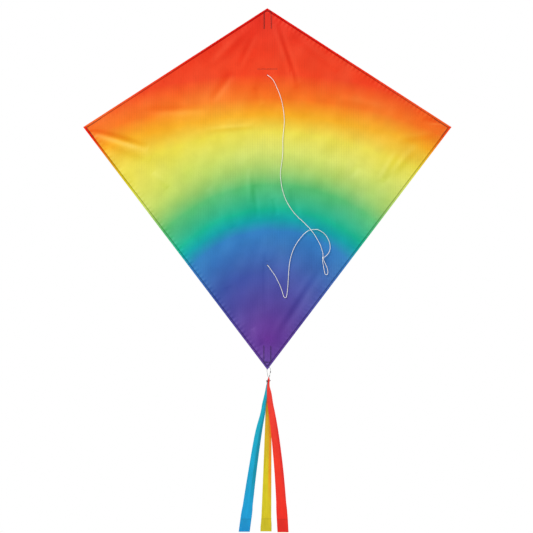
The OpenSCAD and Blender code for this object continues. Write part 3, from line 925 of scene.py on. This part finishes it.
# ---------------------------------------------------------------- Rods and caps
# The spine and the two halves of the cross spar are drawn glass fibre rods, 4 mm thick and satin
# white, with the fibres running along them. Soft milky caps are pushed on the ends in the pockets.
def glass_fibre(name, stretch):
    """Drawn glass fibre: long pale and darker fibres along the rod under a thin resin skin."""
    material, tree, shader = new_material(name, linear((232, 231, 222)), 0.3, specular=0.5)
    place, _, _, _ = places(tree)
    fibres = noise(tree, place, 900, 3, stretch)
    clouds = noise(tree, place, 30, 2)
    colour = blend_colour(
        tree, between(tree, fibres, 0.3, 0.7), linear((206, 203, 190)), linear((243, 242, 236)))
    colour = blend_colour(tree, between(tree, clouds, 0.3, 0.8, 0.0, 0.35), colour, linear((226, 222, 204)))
    tree.links.new(colour, shader.inputs["Base Color"])
    tree.links.new(between(tree, fibres, 0.3, 0.7, 0.26, 0.42), shader.inputs["Roughness"])
    emboss(tree, shader, fibres, 0.05 * MM)
    return material


def soft_vinyl(name, colour):
    """Milky moulded vinyl, with a faint haze and fine pitting."""
    material, tree, shader = new_material(name, linear(colour), 0.4, specular=0.45)
    shader.inputs["Coat Weight"].default_value = 0.15
    place, _, _, _ = places(tree)
    haze = noise(tree, place, 160, 3)
    darker = [0.86 * c for c in linear(colour)]
    tree.links.new(blend_colour(tree, between(tree, haze, 0.3, 0.75), darker, linear(colour)),
                   shader.inputs["Base Color"])
    tree.links.new(between(tree, haze, 0.3, 0.7, 0.34, 0.5), shader.inputs["Roughness"])
    emboss(tree, shader, noise(tree, place, 1800, 2), 0.03 * MM)
    return material


def dress(node, material):
    """Gives a CAD node its material, in every slot that it has."""
    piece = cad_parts[node]
    piece.data.materials.clear()
    piece.data.materials.append(material)
    return piece


upright_fibre = glass_fibre("upright_fibre", (1, 1, 0.02))
level_fibre = glass_fibre("level_fibre", (0.02, 1, 1))
milky_vinyl = soft_vinyl("milky_vinyl", (222, 224, 222))
dress("spine", upright_fibre)
dress("spar_left", level_fibre)
dress("spar_right", level_fibre)
for cap in ("spine_cap_nose", "spine_cap_tail", "spar_cap_left", "spar_cap_right"):
    dress(cap, milky_vinyl)


# ---------------------------------------------------------------- Centre fitting
# A moulded vinyl cross holds the rods where they meet. Its collar grips the spine, and a sleeve at
# each side takes a spar half.
fitting_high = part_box("centre_fitting")[1]
grip = spine_radius + 0.05 * MM
wall = fitting_high.y
lip = 0.3 * MM


def turned(name, profile, axis, steps=40):
    """A shape turned about an axis through the origin, from the profile of its wall."""
    data = bpy.data.meshes.new(name)
    data.from_pydata(profile, [(i, i + 1) for i in range(len(profile) - 1)], [])
    piece = bpy.data.objects.new(name, data)
    scene.collection.objects.link(piece)
    select_only(piece)
    bpy.ops.object.mode_set(mode="EDIT")
    bpy.ops.mesh.select_all(action="SELECT")
    bpy.ops.mesh.spin(steps=steps, angle=2 * pi, center=(0, 0, 0), axis=axis)
    bpy.ops.mesh.select_all(action="SELECT")
    bpy.ops.mesh.remove_doubles(threshold=0.005 * MM)
    bpy.ops.mesh.normals_make_consistent(inside=False)
    bpy.ops.object.mode_set(mode="OBJECT")
    bpy.ops.object.shade_smooth_by_angle(angle=radians(50))
    return piece


half_collar = [
    (grip, 0), (grip, 1), (wall - 0.1 * MM, 1), (wall + lip, 0.96), (wall + lip, 0.84), (wall, 0.76)]
rounds = [*half_collar[1:], *[(r, -up) for r, up in reversed(half_collar[1:])], half_collar[1]]
collar = turned("fitting_collar", [(r, 0, up * fitting_high.z) for r, up in rounds], (0, 0, 1))
boss = [(0, -1), (4.6, -1), (5.4, -0.7), (5.6, 0), (5.4, 0.7), (4.6, 1), (0, 1)]
hub = turned("fitting_hub", [(r * MM, 0.93 * wall * y, 0) for r, y in boss], (0, 1, 0))
fitting_cross = join("fitting_cross", [collar, hub])
finish_piece(fitting_cross, "fitting_cross", milky_vinyl)
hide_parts("centre_fitting")
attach(fitting_cross, "kite")
sleeve_from = 2 * MM
for side, half in ((-1, "left"), (1, "right")):
    reach = fitting_high.x
    body = [(sleeve_from + i * (reach - 5 * MM - sleeve_from) / 24, wall - 0.15 * MM) for i in range(25)]
    rim = [(reach - 3 * MM, wall + lip), (reach - 1 * MM, wall + lip), (reach, wall), (reach, grip),
           (reach - 8 * MM, grip), (sleeve_from, grip), body[0]]
    sleeve = turned("fitting_sleeve_" + half, [(side * at, 0, r) for at, r in [*body, *rim]], (1, 0, 0))
    finish_piece(sleeve, "fitting_sleeve_" + half, milky_vinyl)
    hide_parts("centre_fitting")
    bend_at_fold(sleeve)


# ---------------------------------------------------------------- Tail loop
# A short loop of purple cord is sewn in below the tail pocket and whipped at its neck. The clip's
# top bar hangs in it.
clip_low, clip_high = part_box("snap_wire")
clip_x = (clip_low.x + clip_high.x) / 2
loop_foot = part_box("tail_loop")[0].z
loop_cord = 1.1 * MM
half_loop = [(0.5, 14), (0.6, 9.9), (1.2, 6.3), (2.0, 3.6), (2.1, 1.9), (1.2, 0.75)]
loop_points = [*half_loop, (0, 0.45), *[(-y, z) for y, z in reversed(half_loop)]]
loop_path = smooth_path([Vector((clip_x, y * MM, loop_foot + z * MM)) for y, z in loop_points])
whip_path = []
for i in range(61):
    angle = 2 * pi * 4.5 * i / 60
    whip_path.append(Vector((clip_x + 0.8 * MM * cos(angle), 1.3 * MM * sin(angle),
                             loop_foot + (12.2 - 2.4 * i / 60) * MM)))
plum_cord = laid_line("plum_cord", (96, 58, 150), (52, 30, 92))
cord_loop = finish_piece(line_piece("tail_loop_cord", loop_path, loop_cord, 2.4 * MM), "tail_loop_cord",
                         plum_cord)
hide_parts("tail_loop")
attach(cord_loop, "kite")
whipping = finish_piece(line_piece("tail_loop_whipping", whip_path, 0.5 * MM), "tail_loop_whipping",
                        plum_thread)
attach(whipping, "kite")


# ---------------------------------------------------------------- Tail clip
# A small clip of bright drawn wire, 1 mm thick, carries the ribbons. A dull sheet clasp holds the
# wire's end, and a sprung strip turns on a rivet at the foot to open the clip.
def drawn_wire(name, colour, roughness, stretch=(1, 1, 0.1)):
    """Drawn metal, with fine lines along it and a few dull patches."""
    material, tree, shader = new_material(name, linear(colour), roughness, specular=0.5, metallic=1.0)
    place, _, _, _ = places(tree)
    lines = noise(tree, place, 3000, 2, stretch)
    dull = noise(tree, place, 260, 3)
    darker = [0.72 * c for c in linear(colour)]
    tree.links.new(blend_colour(tree, between(tree, dull, 0.45, 0.75), linear(colour), darker),
                   shader.inputs["Base Color"])
    tree.links.new(between(tree, dull, 0.35, 0.7, roughness, roughness + 0.2), shader.inputs["Roughness"])
    emboss(tree, shader, lines, 0.02 * MM)
    return material


bright_wire = drawn_wire("bright_wire", (206, 210, 208), 0.24)
dull_sheet = drawn_wire("dull_sheet", (96, 98, 100), 0.4)
clip_bends = [
    (6.55, -507), (6.75, -503.5), (6.35, -500), (5.35, -498.2), (4.15, -497.55), (1.45, -497.55),
    (0.15, -498.3), (-0.55, -500), (-0.75, -503.5), (-0.15, -508.5), (1.2, -516), (2, -518),
    (2.5, -518.55), (3.5, -518.55), (4.1, -517.8), (4.7, -515)]
clip_path = smooth_path([Vector((x * MM, 0, z * MM)) for x, z in clip_bends], 6)
clip = line_piece("clip_wire", clip_path, 1.0 * MM, resolution=4)
finish_piece(clip, "clip_wire", bright_wire)
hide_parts("snap_wire")
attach(clip, "tail_snap")
dress("snap_rivet", dull_sheet)
dress("snap_clasp", dull_sheet)
dress("snap_gate", bright_wire)


# ---------------------------------------------------------------- Ribbon tab
# The ribbons' tops are bound with three turns of dark thread, tied at the left. A tab of narrow red
# ribbon goes over the clip's foot, and its ends are sewn down before and behind the binding.
stitch_low, stitch_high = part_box("ribbon_stitch")
stitch_z = (stitch_low.z + stitch_high.z) / 2
tab_side = [(2.2, -2), (2.2, 3), (1.75, 5.2), (1.05, 6.6)]
tab_path = smooth_path([Vector((0, y * MM, z * MM)) for y, z in
                        [*[(-y, z) for y, z in tab_side], (0, 7.4), *reversed(tab_side)]], 6)


def ribbon_cloth(name, stops, side_shade, side_shade_from=0.62, end_hem=0.0):
    """Woven nylon ribbon by its UV map: colours from its end up, a painted shade down the right side of
    its upper half, where the ribbon turns from the light, fine threads along it, a denser selvage each side
    and a doubled hem at its end."""
    colours = [colour for _, colour in stops]
    material, tree, shader = new_material(name, linear(colours[0]), 0.5, specular=0.22, sheen=0.05)
    place, across, up, _ = places(tree, "UV")
    colour = ramp_colour(tree, up, stops)
    # Painted shade down the right side of the upper half, where the ribbon turns from the light.
    aside = between(tree, across, side_shade_from, side_shade_from + 0.12)
    side_shade_mask = calc(tree, "MULTIPLY", aside, between(tree, up, 0.22, 0.45))
    colour = blend_colour(tree, side_shade_mask, colour, linear(side_shade))
    threads = noise(tree, place, 70, 3, (1, 0.04, 1))
    soft = noise(tree, place, 5, 3, (0.5, 2.2, 1))
    edge = between(tree, calc(tree, "ABSOLUTE", calc(tree, "SUBTRACT", across, 0.5)), 0.455, 0.475)
    shade = between(tree, threads, 0.3, 0.7, 0.9, 1.04)
    shade = calc(tree, "MULTIPLY", shade, between(tree, soft, 0.3, 0.7, 0.93, 1.05))
    shade = calc(tree, "MULTIPLY", shade, calc(tree, "MULTIPLY_ADD", edge, -0.1, 1.0))
    if end_hem:
        folded = between(tree, up, end_hem, end_hem - 0.003)
        seam = calc(tree, "ABSOLUTE", calc(tree, "SUBTRACT", up, end_hem - 0.008))
        shade = calc(tree, "MULTIPLY", shade, calc(tree, "MULTIPLY_ADD", folded, -0.09, 1.0))
        shade = calc(tree, "MULTIPLY", shade, between(tree, seam, 0.0008, 0.0018, 0.8, 1.0))
    colour = blend_colour(tree, 1.0, colour, shade, "MULTIPLY")
    tree.links.new(colour, shader.inputs["Base Color"])
    tree.links.new(between(tree, threads, 0.3, 0.7, 0.4, 0.58), shader.inputs["Roughness"])
    picks = calc(tree, "SINE", calc(tree, "MULTIPLY", up, 2 * pi * 620))
    relief = calc(tree, "MULTIPLY_ADD", picks, 0.12, threads)
    emboss(tree, shader, calc(tree, "MULTIPLY_ADD", edge, 0.4, relief), 0.1 * MM)
    return material


# The darker brown down the tab's right side is painted shade.
red_tab = ribbon_cloth("red_tab", [(0.0, (226, 34, 30)), (0.5, (236, 52, 44)), (1.0, (176, 40, 34))],
                       (150, 44, 36), 0.75)
tab, across, up = net("ribbon_tab", 8, len(tab_path) - 1)
step = np.round(up * (len(tab_path) - 1)).astype(int)
route = np.array([tuple(p) for p in tab_path])[step]
tab_width = 1.9 * MM + 2.1 * MM * ease(7.4 * MM - route[:, 2], 1 * MM, 5 * MM)
put_places(tab, np.column_stack([clip_x + (across - 0.5) * tab_width, route[:, 1], stitch_z + route[:, 2]]))
thicken(tab, 0.42 * MM)
finish_piece(tab, "ribbon_tab", red_tab)
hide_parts("ribbon_loop")
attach(tab, "tail_snap")

black_thread = laid_line("black_thread", (44, 34, 40), (18, 14, 18))
binding = []
for i in range(121):
    turn = pi + 2 * pi * 3 * i / 120
    wide, deep = cos(turn), sin(turn)
    x = clip_x - 0.5 * MM + 4.4 * MM * abs(wide) ** 0.4 * (1 if wide > 0 else -1)
    y = 0.15 * MM + 1.68 * MM * abs(deep) ** 0.4 * (1 if deep > 0 else -1)
    binding.append(Vector((x, y, stitch_z + (0.6 - 1.2 * i / 120) * MM)))
knot = Vector((-0.9 * MM, -2.1 * MM, stitch_z - 1.5 * MM))
bound = join("ribbon_binding", [
    line_piece("ribbon_binding", binding, 0.45 * MM),
    line_piece("ribbon_binding_knot", trefoil(knot, 0.36 * MM, 0.5 * MM), 0.7 * MM, closed=True),
    line_piece("ribbon_binding_end", smooth_path([knot, knot + Vector((-0.3, -0.3, -1.4)) * MM,
                                                  knot + Vector((-0.7, -0.1, -2.6)) * MM]), 0.5 * MM)])
finish_piece(bound, "ribbon_binding", black_thread)
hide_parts("ribbon_stitch")
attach(bound, "tail_snap")


# ---------------------------------------------------------------- Ribbons
# Three tails of woven nylon ribbon, 23 mm wide, hang one before the other from the binding. Each is
# folded narrow at its top, opens as it goes down, and ends in a deep hem turned up behind it.
ribbon_flat = 23 * MM
ribbon_thick = 0.2 * MM
ribbon_top = 3 * MM
ribbon_drop = 313.5 * MM
ribbon_hem = 29 * MM
ribbon_step = 0.9 * MM
ribbon_fan = tan(radians(0.7))
side_columns = 6
middle_columns = 16
ribbon_length = ribbon_top + ribbon_drop + ribbon_hem


def hang_ribbon(name, node, order, material, stations, phase):
    """One ribbon as a single sheet: its sides are folded behind it at the top, and its end is turned
    up behind it. Stations give depth, middle and width in millimetres, from the binding down."""
    piece, across, up = net(name, 2 * side_columns + middle_columns, 200)
    run = (1 - up) * ribbon_length
    drop = run - ribbon_top
    turned_up = drop > ribbon_drop
    past = np.maximum(drop - ribbon_drop, 0)
    drop = np.where(turned_up, 2 * ribbon_drop - drop, drop)
    curve = np.array([tuple(p) for p in smooth_path([Vector(s) * MM for s in stations], 8)])
    centre = np.interp(drop, curve[:, 0], curve[:, 1])
    half = np.interp(drop, curve[:, 0], curve[:, 2]) / 2
    flap = ribbon_flat / 2 - half
    column = np.round(across * (2 * side_columns + middle_columns))
    inner = np.clip((column - side_columns) / middle_columns, 0, 1) * 2 - 1
    on_left = np.clip(1 - column / side_columns, 0, 1)
    on_right = np.clip((column - side_columns - middle_columns) / side_columns, 0, 1)
    on_flap = on_left + on_right
    fold = pi * ease(flap, 0.5 * MM, 1.7 * MM)
    reach = np.minimum(flap, 1.7 * half) * on_flap
    x = inner * half - (on_left - on_right) * reach * np.cos(fold)
    stack = np.where(on_left > 0, 0.25, 0.48) * MM * ease(on_flap, 0, 0.16) * ease(flap, 0.9 * MM, 1.7 * MM)
    layer = stack + reach * np.sin(fold)
    swell = np.minimum(0.0045 * np.maximum(drop, 0), 1.1 * MM)
    wave = (0.4 * np.sin(2 * pi * drop / (97 * MM) + phase)
            + 0.2 * np.sin(2 * pi * drop / (43 * MM) + 2 * phase)
            + 0.2 * inner * np.sin(2 * pi * drop / (128 * MM) + 3 * phase)
            + 0.2 * (2 * inner ** 2 - 1) * np.cos(2 * pi * drop / (150 * MM) + phase))
    y = order * (ribbon_step + ribbon_fan * drop) - 0.2 * MM + layer + swell * wave
    y = y + 0.32 * MM * ease(past, 0, 0.8 * MM)
    place = np.column_stack([clip_x + centre + x, y, stitch_z - drop])
    put_places(piece, place)
    corners = np.empty(len(piece.data.loops), dtype=np.int32)
    piece.data.loops.foreach_get("vertex_index", corners)
    cut_across = (inner * half - (on_left - on_right) * flap) / ribbon_flat + 0.5
    cut = np.column_stack([cut_across, 1 - run / ribbon_length])[corners]
    piece.data.uv_layers[0].data.foreach_set("uv", cut.astype(np.float32).ravel())
    thicken(piece, ribbon_thick)
    finish_piece(piece, name, material)
    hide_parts(node)
    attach(piece, node.replace("ribbon_", "") + "_ribbon")
    return piece


hem_at = 2 * ribbon_hem / ribbon_length
# The darker teal down the blue ribbon's right side is painted shade.
blue_cloth = ribbon_cloth(
    "blue_cloth", [(0.0, (0, 136, 212)), (hem_at, (12, 158, 216)), (0.5, (10, 168, 208)),
                   (0.75, (10, 174, 198)), (1.0, (16, 168, 190))], (0, 142, 168), 0.52, hem_at)
hang_ribbon("ribbon_blue", "ribbon_left", 0, blue_cloth, [
    (-3, -0.8, 3.8), (0, -0.9, 3.8), (10, -2.9, 4.8), (26, -5.5, 6), (48, -9.7, 8), (68, -12.5, 10),
    (112, -22, 14.3), (191, -34.3, 17.5), (279, -46.3, 21.6), (314, -51, 21.8)], 0.7)
# The orange towards the yellow ribbon's top and down its right side is painted reflection of light from the
# red ribbon.
yellow_cloth = ribbon_cloth(
    "yellow_cloth", [(0.0, (210, 196, 40)), (hem_at, (216, 200, 24)), (0.45, (216, 202, 26)),
                     (0.72, (214, 172, 26)), (1.0, (206, 132, 26))], (234, 158, 26), 0.54, hem_at)
hang_ribbon("ribbon_yellow", "ribbon_middle", 1, yellow_cloth, [
    (-3, -0.3, 3.8), (0, -0.3, 3.8), (10, -0.9, 5.4), (26, -1.5, 7), (48, -2, 9), (68, -1.5, 11),
    (112, -1.5, 14), (191, -3, 17), (279, -5, 20.3), (314, -5.8, 21.8)], 2.3)
# The darker red down the red ribbon's right side is painted shade.
red_cloth = ribbon_cloth(
    "red_cloth", [(0.0, (232, 28, 22)), (hem_at, (242, 40, 24)), (0.5, (246, 52, 30)),
                  (1.0, (240, 62, 50))], (232, 40, 34), 0.62, hem_at)
hang_ribbon("ribbon_red", "ribbon_right", -1, red_cloth, [
    (-3, 0.1, 3.8), (0, 0.1, 3.8), (10, -0.9, 5), (26, 1, 9.5), (48, 3.2, 12), (68, 6.6, 13.5),
    (112, 13, 16), (191, 21.4, 19), (279, 27.5, 21.5), (314, 29.5, 21.8)], 4.1)
